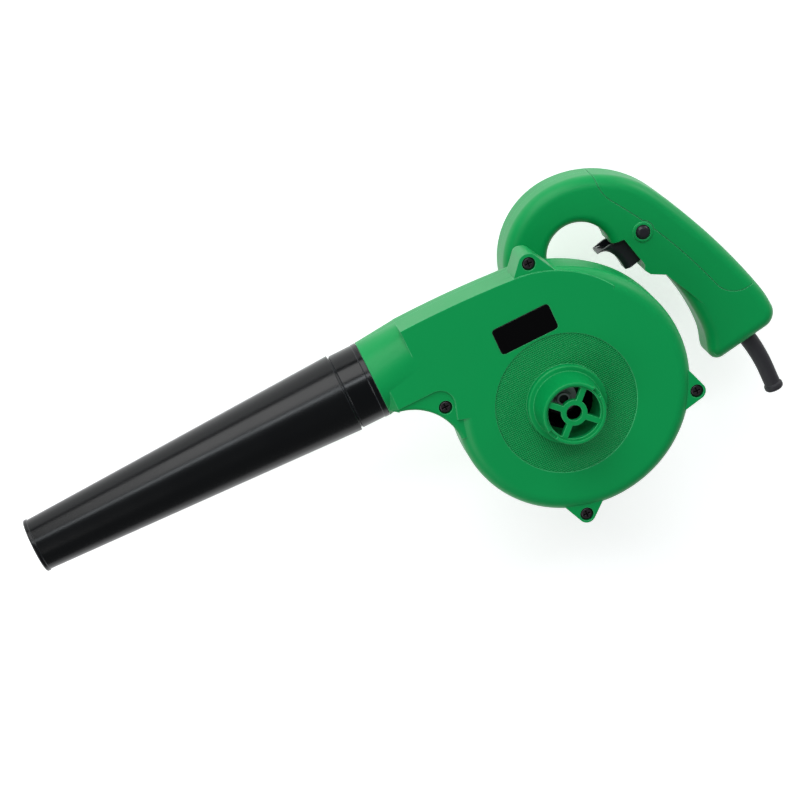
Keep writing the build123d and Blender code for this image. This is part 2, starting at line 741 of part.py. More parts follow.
handle_low = handle_z - handle_half
handle_high = handle_z + handle_half
switch_half = 8.0
switch_front = 15.5
switch_back = 31.0
with BuildPart() as handle_skin:
    with BuildSketch(Plane.XY.offset(handle_low)):
        add(handle_sketch(0))
    extrude(amount=2 * handle_half)
    # the rounding runs from the arch round the grip's end, and separately round the loop
    for level in (handle_low, handle_high):
        rim = handle_skin.edges().filter_by_position(Axis.Z, level - 0.01, level + 0.01)
        back_arcs = rim.filter_by(GeomType.CIRCLE).filter_by(lambda e: e.radius > 50)
        fillet(back_arcs, handle_round)
    for level in (handle_low, handle_high):
        rim = handle_skin.edges().filter_by_position(Axis.Z, level - 0.01, level + 0.01)
        loop_arc = rim.filter_by(GeomType.CIRCLE).sort_by_distance(
            (loop_centre[0], loop_centre[1] + loop_radius, level))[0]
        fillet(loop_arc, handle_round - 2)

handle_cavity = prism(handle_sketch(wall), handle_low + wall, handle_high - wall)
strap_zone = prism(strap_sketch(0), handle_low - 5, handle_high + 5)
strap_zone_inner = prism(strap_sketch(seam_gap), handle_low - 5, handle_high + 5)

# what both halves share: no strap, an open root for the tongue, the trigger's slot, the
# button's bore and the hole for the cord guard
guard_axis = Vector(sin(radians(guard_lean)), -cos(radians(guard_lean)), 0)
guard_plane = Plane((*guard_root, handle_z), z_dir=guard_axis)
handle_screw_base = handle_low + handle_screw_seat
slot_low = -9.6
slot_high = 10.6

# Both halves start as the same hollow blank with its screw columns and the ribs that hold the
# switch by its sides; the half away from the inlet is the mirror image.
with BuildPart() as half_blank:
    add(handle_skin.part)
    add(handle_cavity, mode=Mode.SUBTRACT)
    split(bisect_by=Plane.XY.offset(handle_z), keep=Keep.TOP)
    with BuildSketch(Plane.XY.offset(handle_z)):
        with Locations(*handle_screw_spots):
            Circle(handle_boss_radius)
    extrude(amount=handle_half - wall + 0.5)
    with BuildSketch(Plane.XY.offset(handle_z + switch_half + fit_gap)):
        with BuildLine():
            Polyline(trigger_spot(switch_front, -11), trigger_spot(switch_front + 1.7, -11),
                     trigger_spot(switch_front + 1.7, -6), trigger_spot(switch_front, -6),
                     close=True)
        make_face()
    extrude(amount=handle_half - wall + 0.5 - switch_half - fit_gap)
    # root open for the tongue of the motor housing
    with BuildSketch(Plane.XY.offset(handle_z)):
        with Locations(((tongue_low[0] + tongue_high[0]) / 2, pad_y)):
            Rectangle(tongue_high[0] - tongue_low[0] + 2 * seam_gap, 2 * wall + 1)
    extrude(amount=tongue_half + seam_gap, mode=Mode.SUBTRACT)
    # slot for the trigger
    with BuildSketch(Plane.XY.offset(handle_z)):
        with BuildLine():
            Polyline(trigger_spot(-3, slot_low), trigger_spot(4, slot_low),
                     trigger_spot(4, slot_high), trigger_spot(-3, slot_high), close=True)
        make_face()
    extrude(amount=trigger_width / 2 + seam_gap, mode=Mode.SUBTRACT)
    # hole for the cord guard
    with BuildSketch(guard_plane.offset(-6)):
        Circle(guard_root_radius + fit_gap)
    extrude(amount=12, mode=Mode.SUBTRACT)

button_keep = button_ring_radius + 0.9  # the panel bulges this far round the lock button
button_flange = button_radius + 1.4
button_room = 4.2
spring_seat_z = handle_high - wall - button_room
with BuildPart() as handle_front_shell:
    add(half_blank.part)
    add(strap_zone, mode=Mode.SUBTRACT)
    with BuildSketch(Plane.XY.offset(spring_seat_z - 1.2)):
        with Locations(button_centre):
            Circle(button_keep)
    extrude(amount=handle_high - spring_seat_z + 1.2)
    with BuildSketch(Plane.XY.offset(handle_high)):
        with Locations(button_centre):
            Circle(button_ring_radius)
    extrude(amount=0.9)
    fillet(handle_front_shell.faces().sort_by(Axis.Z)[-1].edges(), 0.6)
    with BuildSketch(Plane.XY.offset(spring_seat_z)):
        with Locations(button_centre):
            Circle(button_flange + run_gap)
    extrude(amount=button_room, mode=Mode.SUBTRACT)
    with BuildSketch(Plane.XY.offset(handle_high - wall - 1)):
        with Locations(button_centre):
            Circle(button_radius + run_gap)
    extrude(amount=8, mode=Mode.SUBTRACT)
    with BuildSketch(Plane.XY.offset(handle_z - 0.5)):
        with Locations(*handle_screw_spots):
            Circle(screw_radius + thread_gap)
    extrude(amount=handle_screw_base + handle_screw_length + 1 - handle_z, mode=Mode.SUBTRACT)
save("handle_front_shell", handle_front_shell.part)

with BuildPart() as handle_rear_shell:
    add(half_blank.part.mirror(Plane.XY.offset(handle_z)))
    add(strap_zone, mode=Mode.SUBTRACT)
    with BuildSketch(Plane.XY.offset(handle_low + 0.5)):
        with Locations(*handle_screw_spots, *root_screws):
            Circle(screw_recess_radius + 1.6)
    extrude(amount=handle_screw_seat + 1.1)
    with BuildSketch(Plane.XY.offset(handle_screw_base)):
        with Locations(*handle_screw_spots, *root_screws):
            Circle(screw_recess_radius)
    extrude(amount=-10, mode=Mode.SUBTRACT)
    with BuildSketch(Plane.XY.offset(handle_screw_base - 0.5)):
        with Locations(*handle_screw_spots, *root_screws):
            Circle(screw_radius + run_gap)
    extrude(amount=handle_half, mode=Mode.SUBTRACT)
save("handle_rear_shell", handle_rear_shell.part)

# strap: the back of the grip in one piece over both halves, with lips that slip under them
strap_lips = prism(strap_sketch(-3), handle_low + wall + fit_gap, handle_high - wall - fit_gap)
lip_core = prism(handle_sketch(wall + fit_gap), handle_low, handle_high)
lip_hollow = prism(handle_sketch(wall + fit_gap + 1.5), handle_low + wall + fit_gap + 1.5,
                   handle_high - wall - fit_gap - 1.5)
lip_end = prism(strap_sketch(3), handle_low, handle_high)
with BuildPart() as lips:
    add(lip_core)
    add(strap_lips, mode=Mode.INTERSECT)
    add(lip_hollow, mode=Mode.SUBTRACT)
    add(lip_end, mode=Mode.SUBTRACT)
with BuildPart() as strap_ribs:
    add(handle_cavity)
    add(strap_zone_inner, mode=Mode.INTERSECT)
    add(lip_hollow, mode=Mode.SUBTRACT)
    add(lip_end, mode=Mode.SUBTRACT)
with BuildPart() as grip_strap:
    add(handle_skin.part)
    add(handle_cavity, mode=Mode.SUBTRACT)
    add(strap_zone_inner, mode=Mode.INTERSECT)
    add(lips.part)
    add(strap_ribs.part)
    with BuildSketch(Plane.XY.offset(handle_z)):
        with Locations(button_centre):
            Circle(button_keep + seam_gap)
    extrude(amount=2 * handle_half, mode=Mode.SUBTRACT)
save("grip_strap", grip_strap.part)

handle_screw = Rot(180, 0, 0) * pan_screw(0, handle_screw_length)
screw_spots = [(x, y, handle_screw_base) for x, y in (*handle_screw_spots, *root_screws)]
save("handle_screws", at(screw_spots, handle_screw))

# ================================================================ trigger and switch
cavity_half = trigger_width / 2 - trigger_wall
trigger_axis_plane = Plane((*trigger_point, handle_z), x_dir=(0, 0, 1), z_dir=trigger_dir)
plunger_radius = 2.2
plunger_start = 4.0
with BuildPart() as trigger:
    with BuildSketch(Plane.XY.offset(handle_z - trigger_width / 2)):
        with BuildLine():
            back = Polyline(trigger_spot(5, -9.3), trigger_spot(5, 10.3), trigger_spot(-5.2, 10.3),
                            trigger_spot(-9, 12.0), trigger_spot(-18.2, 12.6),
                            trigger_spot(-18.8, 11.4))
            pad = Spline(back @ 1, trigger_spot(-13.0, 8.6), trigger_spot(-10.5, 0),
                         trigger_spot(-11.2, -8.2))
            Polyline(pad @ 1, trigger_spot(-7.3, -8.9), back @ 0)
        make_face()
    extrude(amount=trigger_width)
    front = trigger.faces().filter_by(GeomType.EXTRUSION).sort_by(SortBy.AREA)[-1]
    fillet(front.edges().filter_by(GeomType.BSPLINE), 4.0)
    with BuildSketch(Plane.XY.offset(handle_z - cavity_half)):
        with BuildLine():
            open_back = Polyline(trigger_spot(6, -7.6), trigger_spot(6, 14), trigger_spot(-16.2, 14),
                                 trigger_spot(-16.6, 11.6))
            inner = Spline(open_back @ 1, trigger_spot(-11.3, 8.0), trigger_spot(-8.7, 0),
                           trigger_spot(-9.2, -6.6))
            Polyline(inner @ 1, trigger_spot(-7.0, -7.3), open_back @ 0)
        make_face()
    extrude(amount=2 * cavity_half, mode=Mode.SUBTRACT)
    # a plate closes the back and carries the switch's plunger
    with BuildSketch(Plane.XY.offset(handle_z - trigger_width / 2)):
        with BuildLine():
            Polyline(trigger_spot(3, -9.3), trigger_spot(4.6, -9.3), trigger_spot(4.6, 6),
                     trigger_spot(3, 6), close=True)
        make_face()
    extrude(amount=trigger_width)
    with BuildSketch(trigger_axis_plane.offset(3)):
        Circle(plunger_radius + 1.4)
    extrude(amount=4.5)
    with BuildSketch(trigger_axis_plane.offset(plunger_start)):
        Circle(plunger_radius + seat_gap)
    extrude(amount=10, mode=Mode.SUBTRACT)
    # two tabs behind the handle's wall keep the trigger in its slot
    with BuildSketch(Plane.XY.offset(handle_z - trigger_width / 2 - 2.5)):
        with BuildLine():
            Polyline(trigger_spot(3, -9.3), trigger_spot(4.6, -9.3), trigger_spot(4.6, -3),
                     trigger_spot(3, -3), close=True)
        make_face()
    extrude(amount=trigger_width + 5)
save("trigger", trigger.part)

with BuildPart() as switch_plunger:
    with BuildSketch(trigger_axis_plane.offset(plunger_start)):
        Circle(plunger_radius)
    extrude(amount=18)
save("switch_plunger", switch_plunger.part)

switch_low = -11.0
switch_high = 10.0
with BuildPart() as switch_body:
    with BuildSketch(Plane.XY.offset(handle_z - switch_half)):
        with BuildLine():
            Polyline(trigger_spot(switch_front, switch_low), trigger_spot(switch_back, switch_low),
                     trigger_spot(switch_back, switch_high),
                     trigger_spot(switch_front, switch_high), close=True)
        make_face()
    extrude(amount=2 * switch_half)
    fillet(switch_body.edges().filter_by(Axis.Z), 1.0)
    with BuildSketch(trigger_axis_plane.offset(switch_front - 1)):
        Circle(plunger_radius + run_gap)
    extrude(amount=13, mode=Mode.SUBTRACT)
save("switch_body", switch_body.part)

with BuildPart() as switch_terminals:
    for along in (19.0, 23.5, 28.0):
        with BuildSketch(Plane.XY.offset(handle_z - 3.15)):
            with BuildLine():
                Polyline(trigger_spot(along, switch_low - seat_gap),
                         trigger_spot(along + 0.8, switch_low - seat_gap),
                         trigger_spot(along + 0.8, switch_low - 7.5),
                         trigger_spot(along, switch_low - 7.5), close=True)
            make_face()
        extrude(amount=6.3)
save("switch_terminals", switch_terminals.part)

# ================================================================ lock button
flange_top = handle_high - wall - seam_gap
flange_bottom = flange_top - 1.2
with BuildPart() as lock_button:
    with BuildSketch(Plane.XY.offset(flange_bottom)):
        with Locations(button_centre):
            Circle(button_flange)
    extrude(amount=flange_top - flange_bottom)
    with BuildSketch(Plane.XY.offset(flange_bottom)):
        with Locations(button_centre):
            Circle(button_radius)
    extrude(amount=handle_high + 0.9 + button_height - flange_bottom)
    fillet(lock_button.faces().sort_by(Axis.Z)[-1].edges(), button_round)
save("lock_button", lock_button.part)


def coil_spring(radius, wire, low, high, turns):
    """Round-wire coil spring standing on the XY plane's normal, from low to high."""
    rise = high - low - wire
    with BuildPart() as spring:
        with BuildLine(Plane.XY.offset(low + wire / 2)):
            coil = Helix(pitch=rise / turns, height=rise, radius=radius)
        with BuildSketch(Plane(coil @ 0, z_dir=coil % 0)):
            Circle(wire / 2)
        sweep(is_frenet=True)
    return spring.part


lock_spring = coil_spring(4.4, 0.4, spring_seat_z + seat_gap, flange_bottom - seat_gap, 2.0)
save("lock_spring", Pos(*button_centre, 0) * lock_spring)

# ================================================================ cord guard
bend_end = (guard_root[0] + guard_bend * (1 - cos(radians(guard_lean))),
            guard_root[1] - guard_bend * sin(radians(guard_lean)))
bead_plane = Plane((bend_end[0], bend_end[1] - guard_straight, handle_z), z_dir=(0, 1, 0))
with BuildPart() as bead:
    with BuildSketch(bead_plane):
        Circle(guard_bead_radius)
    extrude(amount=4.6)
    fillet(bead.edges().filter_by(GeomType.CIRCLE), 1.6)

with BuildPart() as cord_guard:
    with BuildLine():
        bend = JernArc(guard_root, (guard_axis.X, guard_axis.Y), guard_bend, -guard_lean)
    steps = (0, 0.25, 0.5, 0.75, 1)
    shrink = guard_root_radius - guard_tip_radius
    for step in steps:
        with BuildSketch(Plane(Vector(*(bend @ step)) + Vector(0, 0, handle_z), z_dir=bend % step)):
            Circle(guard_root_radius - shrink * step)
    loft()
    with BuildSketch(Plane((*guard_root, handle_z), z_dir=guard_axis)):
        Circle(guard_root_radius)
    extrude(amount=-5)
    with BuildSketch(guard_plane.offset(-wall - 2.7)):
        Circle(guard_root_radius + 2.4)
    extrude(amount=1.6)
    with BuildSketch(Plane((*bend_end, handle_z), z_dir=(0, -1, 0))):
        Circle(guard_tip_radius)
    extrude(amount=guard_straight)
    add(bead.part)
    with BuildSketch(bead_plane.offset(-1)):
        Circle(cord_radius)
    extrude(amount=guard_straight + 1, mode=Mode.SUBTRACT)
    for step in steps:
        with BuildSketch(Plane(Vector(*(bend @ step)) + Vector(0, 0, handle_z), z_dir=bend % step)):
            Circle(cord_radius)
    loft(mode=Mode.SUBTRACT)
    with BuildSketch(guard_plane.offset(-8)):
        Circle(cord_radius)
    extrude(amount=8.1, mode=Mode.SUBTRACT)
save("cord_guard", cord_guard.part)

# ================================================================ motor
with BuildPart() as stator_core:
    with BuildSketch(Plane.XY.offset(stack_bottom)):
        Circle(stator_radius)
        Circle(stator_ring_inner, mode=Mode.SUBTRACT)
        Rectangle(2 * pole_half_width, 2 * stator_ring_inner + 2)
        with BuildSketch(mode=Mode.PRIVATE) as shoes:
            Circle(armature_radius + air_gap + pole_tip)
            with Locations((stator_radius, 0), (-stator_radius, 0)):
                Rectangle(2 * stator_radius - 30, 26, mode=Mode.SUBTRACT)
        add(shoes.sketch)
        Circle(armature_radius + air_gap, mode=Mode.SUBTRACT)
        with Locations(*stator_screw_spots):
            Circle(screw_radius + run_gap, mode=Mode.SUBTRACT)
    extrude(amount=stack_top - stack_bottom)
save("stator_core", stator_core.part)

coil_start = armature_radius + air_gap + pole_tip + 1.0
with BuildPart() as coil:
    with BuildSketch(Plane.XZ.offset(-coil_start)):
        with Locations((0, (stack_bottom + stack_top) / 2)):
            coil_span = stack_top - stack_bottom + 2 * coil_overhang
            RectangleRounded(2 * (pole_half_width + 0.3 + coil_thickness), coil_span, 5)
            RectangleRounded(2 * (pole_half_width + 0.3), stack_top - stack_bottom + 0.6, 0.4,
                             mode=Mode.SUBTRACT)
    extrude(amount=-coil_height)
    fillet(coil.edges().filter_by(Axis.Z).group_by(Axis.Y)[-1], 1.0)
field_coils = Compound(children=[coil.part, Rot(0, 0, 180) * coil.part])
save("field_coils", field_coils)

stator_screw = Rot(180, 0, 0) * pan_screw(0, stack_top - stack_bottom + 16)
save("stator_screws", at([(*spot, stack_bottom) for spot in stator_screw_spots], stator_screw))


def both_sides(piece):
    """A piece on the +X side and the same piece turned round to the -X side."""
    return Compound(children=[copy_to(piece, (0, 0, 0)), Rot(0, 0, 180) * piece])


holder_start = commutator_radius + 1.5
holder_end = brush_boss_end - 5.0
brush_start = commutator_radius + run_gap
channel = [side + 2 * run_gap for side in brush_size]
with BuildPart() as brush_holder:
    with BuildSketch(Plane.YZ.offset(holder_start)):
        with Locations((0, brush_z)):
            Circle(brush_tube_radius)
            Rectangle(*channel, mode=Mode.SUBTRACT)
    extrude(amount=holder_end - holder_start)
save("brush_holders", both_sides(brush_holder.part))

with BuildPart() as carbon_brush:
    with BuildSketch(Plane.YZ.offset(commutator_radius - 1)):
        with Locations((0, brush_z)):
            Rectangle(*brush_size)
    extrude(amount=brush_start + brush_length - commutator_radius + 1)
    with BuildSketch(Plane.XY.offset(brush_z - 10)):
        Circle(brush_start)
    extrude(amount=20, mode=Mode.SUBTRACT)
save("carbon_brushes", both_sides(carbon_brush.part))

brush_spring = coil_spring(2.4, 0.5, brush_start + brush_length + seat_gap, holder_end - 0.1, 7)
save("brush_springs", both_sides(Pos(0, 0, brush_z) * Rot(0, 90, 0) * brush_spring))

with BuildPart() as brush_cap:
    with BuildSketch(Plane.YZ.offset(holder_end + 0.1)):
        with Locations((0, brush_z)):
            Circle(brush_tube_radius)
    extrude(amount=4.2)
    with BuildSketch(Plane.YZ.offset(holder_end + 3.1)):
        with Locations((0, brush_z)):
            Rectangle(1.4, 8.5)
    extrude(amount=2, mode=Mode.SUBTRACT)
save("brush_caps", both_sides(brush_cap.part))

# ---------------------------------------------------------------- what turns
shaft_bottom = rear_bearing[3] - 0.5
nut_bottom = hub_top + 1.5
with BuildPart() as rotor_shaft:
    with BuildSketch(Plane.XY.offset(shaft_bottom)):
        Circle(rear_bearing[0])
    extrude(amount=commutator_z[0] - shaft_bottom)
    with BuildSketch(Plane.XY.offset(commutator_z[0])):
        Circle(shaft_radius)
    extrude(amount=front_bearing[3] - 1 - commutator_z[0])
    with BuildSketch(Plane.XY.offset(front_bearing[3] - 1)):
        Circle(front_bearing[0])
    extrude(amount=hub_top - front_bearing[3] + 1)
    with BuildSketch(Plane.XY.offset(hub_top)):
        Circle(thread_radius)
    extrude(amount=nut_top - 2.5 - hub_top)
    chamfer(rotor_shaft.faces().sort_by(Axis.Z)[-1].edges(), 0.5)
save("rotor_shaft", rotor_shaft.part)

with BuildPart() as armature_core:
    with BuildSketch(Plane.XY.offset(stack_bottom)):
        Circle(armature_radius)
        Circle(shaft_radius + seat_gap, mode=Mode.SUBTRACT)
        with PolarLocations(12.5, slot_count):
            SlotOverall(8.0, 4.0, mode=Mode.SUBTRACT)
        with PolarLocations(armature_radius, slot_count):
            Rectangle(6, 1.8, mode=Mode.SUBTRACT)
    extrude(amount=stack_top - stack_bottom)
save("armature_core", armature_core.part)

with BuildPart() as armature_windings:
    with BuildSketch(Plane.XY.offset(stack_bottom - 4)):
        with PolarLocations(12.5, slot_count):
            SlotOverall(7.6, 3.6)
    extrude(amount=stack_top - stack_bottom + 8)
    for low, high in ((stack_bottom - 8, stack_bottom - 0.3), (stack_top + 0.3, stack_top + 6)):
        with BuildSketch(Plane.XY.offset(low)):
            Circle(armature_radius - 1)
            Circle(shaft_radius + 1.5, mode=Mode.SUBTRACT)
        extrude(amount=high - low)
    fillet(armature_windings.edges().filter_by(GeomType.CIRCLE).filter_by(
        lambda edge: edge.radius > armature_radius - 1.01), 2.0)
save("armature_windings", armature_windings.part)

with BuildPart() as commutator:
    with BuildSketch(Plane.XY.offset(commutator_z[0])):
        Circle(commutator_radius)
        Circle(shaft_radius + seat_gap, mode=Mode.SUBTRACT)
        with PolarLocations(commutator_radius, 2 * slot_count):
            Rectangle(2.0, 0.6, mode=Mode.SUBTRACT)
    extrude(amount=commutator_z[1] - commutator_z[0])
save("commutator", commutator.part)

with BuildPart() as cooling_fan:
    with BuildSketch(Plane.XY.offset(cooling_fan_z[1] - 1.8)):
        Circle(cooling_fan_radius)
    extrude(amount=1.8)
    with BuildSketch(Plane.XY.offset(cooling_fan_z[0])):
        Circle(shaft_radius + 4)
        with PolarLocations((cooling_fan_radius + 12) / 2, 14):
            Rectangle(cooling_fan_radius - 12, 1.6, rotation=20)
        Circle(cooling_fan_radius, mode=Mode.INTERSECT)
    extrude(amount=cooling_fan_z[1] - cooling_fan_z[0] - 1)
    with BuildSketch(Plane.XY.offset(cooling_fan_z[0] - 1)):
        Circle(shaft_radius + seat_gap)
    extrude(amount=10, mode=Mode.SUBTRACT)
save("cooling_fan", cooling_fan.part)

disc_top = impeller_z + impeller_disc
with BuildPart() as impeller:
    with BuildSketch(Plane.XY.offset(disc_top - 0.2)):
        with BuildLine():
            lead = ThreePointArc((impeller_eye, 0), (39, -9.5), (54, -25))
            trail = ThreePointArc((53.2, -26.9), (38.2, -11.6), (impeller_eye, -blade_thickness))
            Line(lead @ 1, trail @ 0)
            Line(trail @ 1, lead @ 0)
        make_face()
    extrude(amount=impeller_top - disc_top + 0.2)
    one_blade = impeller.part
    with Locations(*[Rot(0, 0, 360 * i / blade_count) for i in range(1, blade_count)]):
        add(one_blade)
    with BuildSketch(Plane.XY.offset(impeller_z)):
        Circle(impeller_radius)
    extrude(amount=impeller_disc)
    # the blades get lower towards the rim
    with BuildSketch(Plane.XZ):
        with BuildLine():
            Polyline((impeller_eye + 6, impeller_top + 0.01), (impeller_radius + 6, impeller_top - 5),
                     (impeller_radius + 6, impeller_top + 5), (impeller_eye + 6, impeller_top + 5),
                     close=True)
        make_face()
    revolve(axis=Axis.Z, mode=Mode.SUBTRACT)
    with BuildSketch(Plane.XY.offset(impeller_z)):
        Circle(hub_radius)
    extrude(amount=hub_top - impeller_z)
    with BuildSketch(Plane.XY.offset(impeller_z - 1)):
        Circle(insert_radius + seat_gap)
    extrude(amount=hub_top, mode=Mode.SUBTRACT)
save("impeller", impeller.part)

with BuildPart() as impeller_hub:
    with BuildSketch(Plane.XY.offset(impeller_z - 0.2)):
        Circle(insert_radius)
        Circle(front_bearing[0] + seat_gap, mode=Mode.SUBTRACT)
    extrude(amount=hub_top - impeller_z + 0.2)
save("impeller_hub", impeller_hub.part)

spacer_low = front_bearing[3] + front_bearing[2]
with BuildPart() as impeller_spacer:
    with BuildSketch(Plane.XY.offset(spacer_low)):
        Circle(front_bearing[0] + 2.2)
        Circle(front_bearing[0] + seat_gap, mode=Mode.SUBTRACT)
    extrude(amount=impeller_z - 0.2 - spacer_low)
save("impeller_spacer", impeller_spacer.part)

with BuildPart() as impeller_washer:
    with BuildSketch(Plane.XY.offset(hub_top)):
        Circle(hub_radius - 2)
        Circle(thread_radius + thread_gap, mode=Mode.SUBTRACT)
    extrude(amount=nut_bottom - hub_top)
save("impeller_washer", impeller_washer.part)

with BuildPart() as impeller_nut:
    with BuildSketch(Plane.XY.offset(nut_bottom)):
        RegularPolygon(nut_width / 2, 6, major_radius=False)
    extrude(amount=4)
    with BuildSketch(Plane.XY.offset(nut_bottom)):
        Circle(nut_width / 2 - 0.4)
    extrude(amount=nut_top - nut_bottom)
    chamfer(impeller_nut.faces().sort_by(Axis.Z)[-1].edges(), 0.4)
    with BuildSketch(Plane.XY.offset(nut_bottom - 1)):
        Circle(thread_radius + thread_gap)
    extrude(amount=nut_top, mode=Mode.SUBTRACT)
save("impeller_nut", impeller_nut.part)


# ================================================================ bearings
def bearing(name, bore, outer, width, bottom, count):
    """Deep-groove ball bearing round the Z axis: two races, the balls and their cage."""
    pitch = (bore + outer) / 2
    ball = 0.29 * (outer - bore)
    shoulder = 0.55 * ball
    middle = bottom + width / 2
    with BuildPart() as outer_race:
        with BuildSketch(Plane.XY.offset(bottom)):
            Circle(outer)
            Circle(pitch + shoulder, mode=Mode.SUBTRACT)
        extrude(amount=width)
        with Locations((0, 0, middle)):
            Torus(pitch, ball + ball_gap, mode=Mode.SUBTRACT)
    save(f"{name}_outer_race", outer_race.part)
    with BuildPart() as inner_race:
        with BuildSketch(Plane.XY.offset(bottom)):
            Circle(pitch - shoulder)
            Circle(bore + seat_gap, mode=Mode.SUBTRACT)
        extrude(amount=width)
        with Locations((0, 0, middle)):
            Torus(pitch, ball + ball_gap, mode=Mode.SUBTRACT)
    save(f"{name}_inner_race", inner_race.part)
    with BuildPart() as balls:
        with Locations((0, 0, middle)):
            with PolarLocations(pitch, count):
                Sphere(ball)
    save(f"{name}_balls", balls.part)
    with BuildPart() as cage:
        with BuildSketch(Plane.XY.offset(middle - 1.3 * ball)):
            Circle(pitch + 0.32 * ball)
            Circle(pitch - 0.32 * ball, mode=Mode.SUBTRACT)
        extrude(amount=2.6 * ball)
        pocket = Cylinder(ball + 2 * ball_gap, pitch, rotation=(0, 90, 0), mode=Mode.PRIVATE)
        for turn in range(count):
            add(Rot(0, 0, 360 * turn / count) * Pos(pitch, 0, middle) * pocket, mode=Mode.SUBTRACT)
    save(f"{name}_cage", cage.part)


bearing("front_bearing", *front_bearing)
bearing("rear_bearing", *rear_bearing)

with BuildPart() as rear_bearing_sleeve:
    with BuildSketch(Plane.XY.offset(rear_bearing[3])):
        Circle(sleeve_radius)
        Circle(rear_bearing[1], mode=Mode.SUBTRACT)
    extrude(amount=rear_bearing[2])
save("rear_bearing_sleeve", rear_bearing_sleeve.part)

with BuildPart() as bearing_retainer:
    with BuildSketch(Plane.XY.offset(front_bearing[3] - retainer_thickness)):
        Circle(hub_outer - 0.3)
        Circle(front_bearing[1] - 2.8, mode=Mode.SUBTRACT)
        with PolarLocations(retainer_screw_circle, 2, start_angle=90):
            Circle(screw_radius * small_screw + run_gap, mode=Mode.SUBTRACT)
    extrude(amount=retainer_thickness)
save("bearing_retainer", bearing_retainer.part)

retainer_screw = Rot(180, 0, 0) * pan_screw(0, 6.5, small_screw)
retainer_spots = [(0, side * retainer_screw_circle, front_bearing[3] - retainer_thickness)
                  for side in (1, -1)]
save("retainer_screws", at(retainer_spots, retainer_screw))

# ================================================================ nozzle
nozzle_axis = Axis((0, nozzle_y, parting_z), (1, 0, 0))
collar_start = outlet_x - seam_gap
collar_end = collar_start - collar_length
cone_start = collar_end - 1.0
tip_x = outlet_x - nozzle_length
lip_x = tip_x + tip_lip_length
sleeve_end = cone_start - 14.0
cone_slope = (cone_start_radius - tip_radius) / (cone_start - lip_x)
pin_x = outlet_x - 10.0
groove_radius = spigot_radius + pin_height + 0.2
groove_half = pin_radius + 0.3
groove_turn = degrees(groove_half / spigot_radius)


def nozzle_ring(points):
    """Turn a closed outline of (x, radius) points round the nozzle's axis."""
    with BuildPart() as turned:
        with BuildSketch(Plane.XY.offset(parting_z)):
            with BuildLine():
                Polyline(*[(x, nozzle_y + radius) for x, radius in points], close=True)
            make_face()
        revolve(axis=nozzle_axis)
    return turned.part


def cone_radius(x):
    """Outer radius of the nozzle's cone at a place along it."""
    return tip_radius + cone_slope * (x - lip_x)


def bayonet_slot():
    """L-shaped slot for one pin: in from the rim, then round to where the pin rests."""
    reach = groove_radius - spigot_radius + 1
    with BuildPart() as slot:
        with BuildSketch(Plane.XY.offset(parting_z)):
            with Locations((pin_x, nozzle_y + groove_radius - reach / 2)):
                Rectangle(2 * groove_half, reach)
        revolve(axis=nozzle_axis, revolution_arc=bayonet_angle + 2 * groove_turn)
        with BuildSketch(Plane.XY.offset(parting_z)):
            with Locations(((pin_x - groove_half + collar_start + 1) / 2,
                            nozzle_y + groove_radius - reach / 2)):
                Rectangle(collar_start + 1 - pin_x + groove_half, reach)
        revolve(axis=nozzle_axis, revolution_arc=2 * groove_turn)
    return slot.part


collar_body = nozzle_ring((
    (collar_start, spigot_radius + run_gap), (collar_start, outlet_radius),
    (collar_start - rim_length, outlet_radius), (collar_start - rim_length - 0.3, outlet_radius - 0.3),
    (collar_end + 0.4, outlet_radius - 0.3), (collar_end, outlet_radius - 0.7),
    (collar_end, cone_start_radius - 1.8), (cone_start, cone_start_radius - 1.8),
    (cone_start, cone_radius(cone_start) - nozzle_wall - fit_gap),
    (sleeve_end, cone_radius(sleeve_end) - nozzle_wall - fit_gap), (sleeve_end, spigot_bore + 0.6),
    (outlet_x - spigot_length - 0.8, spigot_bore + 0.6),
    (outlet_x - spigot_length - 0.8, spigot_radius + run_gap)))
slot_blank = bayonet_slot()
with BuildPart() as nozzle_collar:
    add(collar_body)
    for pin_angle in (90, 270):
        start = pin_angle - bayonet_angle - groove_turn
        add(slot_blank.rotate(nozzle_axis, start), mode=Mode.SUBTRACT)
save("nozzle_collar", nozzle_collar.part)

nozzle_tube = nozzle_ring((
    (cone_start, cone_start_radius - nozzle_wall), (cone_start, cone_start_radius - 0.3),
    (cone_start - 0.3, cone_start_radius), (lip_x, tip_radius), (lip_x - 0.5, tip_lip_radius),
    (tip_x + 0.6, tip_lip_radius), (tip_x, tip_lip_radius - 0.6), (tip_x, tip_radius - nozzle_wall),
    (lip_x, tip_radius - nozzle_wall)))
save("nozzle_tube", nozzle_tube)
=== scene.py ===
# %% [markdown]
# # A hand-held electric leaf blower
#
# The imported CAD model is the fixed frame: every visible part of the blower is one of its pieces, in
# metres, in the place where it was built. This lesson sets up the camera and the light, then gives
# each moulding, screw and metal part a material whose colour, gloss and relief come from nodes.

# %% Load the frame
import math
import bpy
from mathutils import Matrix, Vector

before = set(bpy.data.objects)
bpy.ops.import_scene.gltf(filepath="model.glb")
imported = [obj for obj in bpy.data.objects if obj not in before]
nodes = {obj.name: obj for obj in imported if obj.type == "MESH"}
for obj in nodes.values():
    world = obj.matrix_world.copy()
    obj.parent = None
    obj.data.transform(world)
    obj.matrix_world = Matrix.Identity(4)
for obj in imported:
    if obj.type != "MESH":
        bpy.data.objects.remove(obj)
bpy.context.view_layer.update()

# %% [markdown]
# ## Camera
#
# A product shot of a blower that lies in mid-air is taken from high above, with a long lens, so that
# its outline hardly narrows with distance. The camera's three axes are given directly, and its place
# is counted along them from the sunken disc round the air inlet: a product is turned to the lens,
# and no rule such as "look at the middle" would give the same view.

